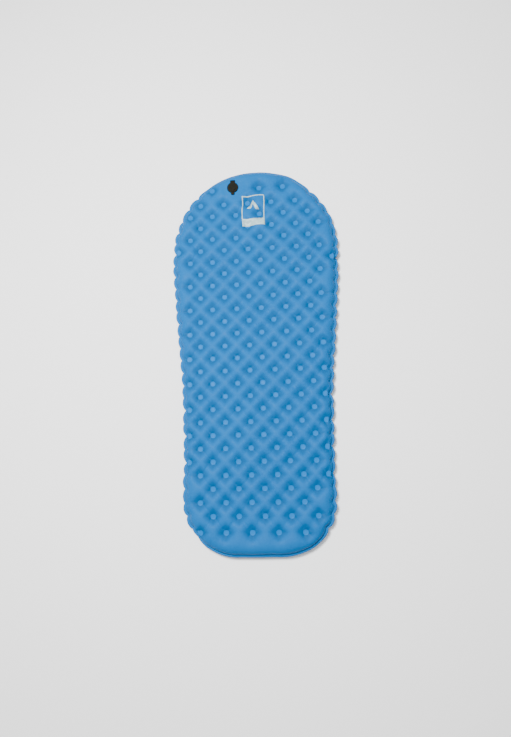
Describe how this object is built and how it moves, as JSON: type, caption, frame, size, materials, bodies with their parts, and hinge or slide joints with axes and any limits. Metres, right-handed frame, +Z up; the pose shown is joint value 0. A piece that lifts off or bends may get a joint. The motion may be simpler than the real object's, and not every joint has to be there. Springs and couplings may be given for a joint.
{
  "type": "inflatable sleeping pad",
  "caption": "Mummy-shaped inflatable camping mat: two fabric sheets tied by inner webs at a lattice of round dots, with a flip-open two-stage air valve near the head.",
  "frame": {"origin": "on the ground under the middle of the pad's overall length and width", "axes": "+X across the pad, +Y along it towards the head, +Z up"},
  "size_m": [0.5498, 1.2599, 0.0554],
  "materials": {
    "top_fabric": "matte",
    "bottom_fabric": "matte",
    "weld_film": "satin",
    "web_fabric": "matte",
    "print_ink": "satin",
    "valve_body": "satin",
    "valve_soft": "satin",
    "valve_seal": "satin"
  },
  "bodies": {
    "pad": {"top_sheet": "top_fabric", "bottom_sheet": "bottom_fabric", "edge_weld": "weld_film", "top_dot_welds": "weld_film", "bottom_dot_welds": "weld_film", "tension_webs": "web_fabric", "print_panel": "print_ink", "valve_base": "valve_body", "tether_ring": "valve_soft"},
    "stopper": {"dump_stopper": "valve_body", "stopper_strap": "valve_soft", "stopper_seal": "valve_seal"},
    "cap": {"inflation_cap": "valve_body", "cap_strap": "valve_soft", "cap_seal": "valve_seal"},
    "diaphragm": {"check_diaphragm": "valve_seal"}
  },
  "joints": [
    {"name": "stopper_hinge", "type": "hinge", "parent": "pad", "child": "stopper", "pos_m": [-0.068, 0.5895, 0.0521], "axis": [-1, 0, 0], "range_deg": [0, 120]},
    {"name": "cap_hinge", "type": "hinge", "parent": "stopper", "child": "cap", "pos_m": [-0.068, 0.5519, 0.0543], "axis": [1, 0, 0], "range_deg": [0, 150]},
    {"name": "check_valve", "type": "slide", "parent": "stopper", "child": "diaphragm", "axis": [0, 0, -1], "range_m": [0, 0.0018], "stiffness_N_per_m": 60, "springref_m": -0.0005}
  ]
}
